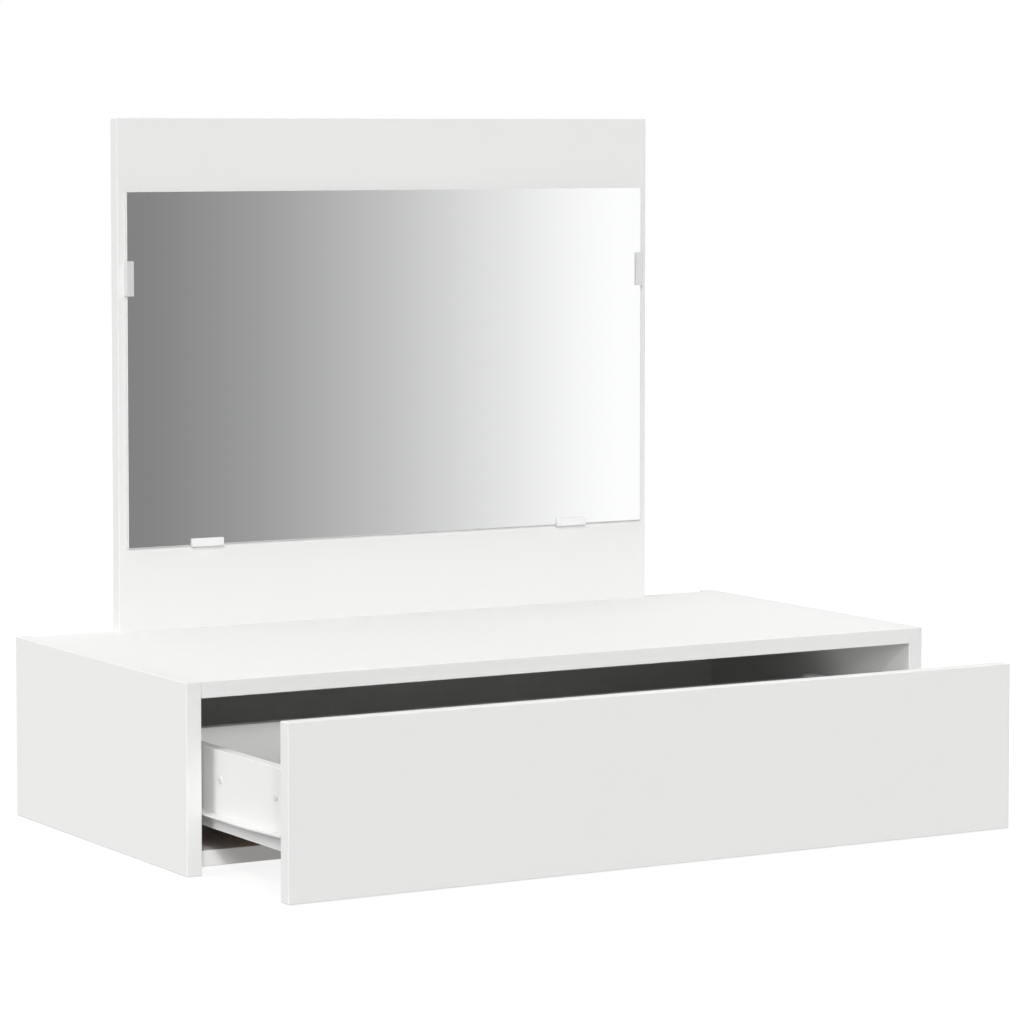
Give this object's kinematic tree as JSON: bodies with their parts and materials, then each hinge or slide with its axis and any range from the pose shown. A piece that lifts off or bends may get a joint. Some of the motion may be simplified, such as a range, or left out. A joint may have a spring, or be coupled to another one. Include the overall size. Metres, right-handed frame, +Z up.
{
  "type": "dressing table",
  "caption": "Shallow wall-hung dressing table with a wide handleless drawer on roller runners and an upright back board that carries a rectangular mirror in clips.",
  "frame": {"origin": "on the base plane, under the middle of the outer box, with the drawer open as it is at rest", "axes": "+X to the right seen from the front, +Y towards the wall, +Z up"},
  "size_m": [0.8, 0.545, 0.674],
  "materials": {
    "white_melamine": "satin white melamine on chipboard",
    "white_hardboard": "white-faced thin hardboard",
    "silvered_glass": "silvered float glass with a ground edge",
    "clip_plastic": "moulded white plastic",
    "runner_steel": "white epoxy-coated sheet steel",
    "roller_nylon": "natural white nylon",
    "zinc_steel": "bright zinc-plated steel and zinc alloy",
    "beech": "plain beech",
    "cap_plastic": "moulded light grey plastic"
  },
  "bodies": {
    "cabinet": {"side_panel_left": "white_melamine", "side_panel_right": "white_melamine", "top_panel": "white_melamine", "bottom_panel": "white_melamine", "back_panel": "white_melamine", "mirror_board": "white_melamine", "mirror_glass": "silvered_glass", "mirror_clip_bottom_left": "clip_plastic", "mirror_clip_bottom_right": "clip_plastic", "mirror_clip_side_left": "clip_plastic", "mirror_clip_side_right": "clip_plastic", "cabinet_runner_left": "runner_steel", "cabinet_runner_right": "runner_steel", "front_roller_axle_left": "zinc_steel", "front_roller_axle_right": "zinc_steel", "joining_plate_left": "zinc_steel", "joining_plate_right": "zinc_steel", "cabinet_cam_locks": "zinc_steel", "cabinet_cam_bolts": "zinc_steel", "joining_plate_screws": "zinc_steel", "cabinet_runner_screws": "zinc_steel", "cabinet_dowels": "beech", "mirror_board_dowels": "beech"},
    "drawer": {"drawer_front": "white_melamine", "drawer_side_left": "white_melamine", "drawer_side_right": "white_melamine", "drawer_back": "white_melamine", "drawer_bottom": "white_hardboard", "drawer_runner_left": "runner_steel", "drawer_runner_right": "runner_steel", "rear_roller_axle_left": "zinc_steel", "rear_roller_axle_right": "zinc_steel", "drawer_cam_locks": "zinc_steel", "drawer_cam_bolts": "zinc_steel", "drawer_back_screws": "zinc_steel", "drawer_runner_screws": "zinc_steel", "drawer_bottom_screws": "zinc_steel", "drawer_dowels": "beech", "drawer_side_caps": "cap_plastic"},
    "roller_front_left": {"front_roller_left": "roller_nylon"},
    "roller_front_right": {"front_roller_right": "roller_nylon"},
    "roller_rear_left": {"rear_roller_left": "roller_nylon"},
    "roller_rear_right": {"rear_roller_right": "roller_nylon"}
  },
  "joints": [
    {"name": "drawer_slide", "type": "slide", "parent": "cabinet", "child": "drawer", "axis": [0, -1, 0], "range_m": [-0.165, 0.06]},
    {"name": "roller_front_left_spin", "type": "hinge", "parent": "cabinet", "child": "roller_front_left", "pos_m": [-0.3779, -0.0675, 0.046], "axis": [1, 0, 0], "range_deg": [-1190, 440]},
    {"name": "roller_front_right_spin", "type": "hinge", "parent": "cabinet", "child": "roller_front_right", "pos_m": [0.3779, -0.0675, 0.046], "axis": [1, 0, 0], "range_deg": [-1190, 440]},
    {"name": "roller_rear_left_spin", "type": "hinge", "parent": "drawer", "child": "roller_rear_left", "pos_m": [-0.3779, 0.0295, 0.0459], "axis": [1, 0, 0], "range_deg": [-1190, 440]},
    {"name": "roller_rear_right_spin", "type": "hinge", "parent": "drawer", "child": "roller_rear_right", "pos_m": [0.3779, 0.0295, 0.0459], "axis": [1, 0, 0], "range_deg": [-1190, 440]}
  ],
  "couplings": [
    {"joint": "roller_front_left_spin", "follows": "drawer_slide", "rad_per_m": 125},
    {"joint": "roller_front_right_spin", "follows": "drawer_slide", "rad_per_m": 125},
    {"joint": "roller_rear_left_spin", "follows": "drawer_slide", "rad_per_m": 125},
    {"joint": "roller_rear_right_spin", "follows": "drawer_slide", "rad_per_m": 125}
  ]
}
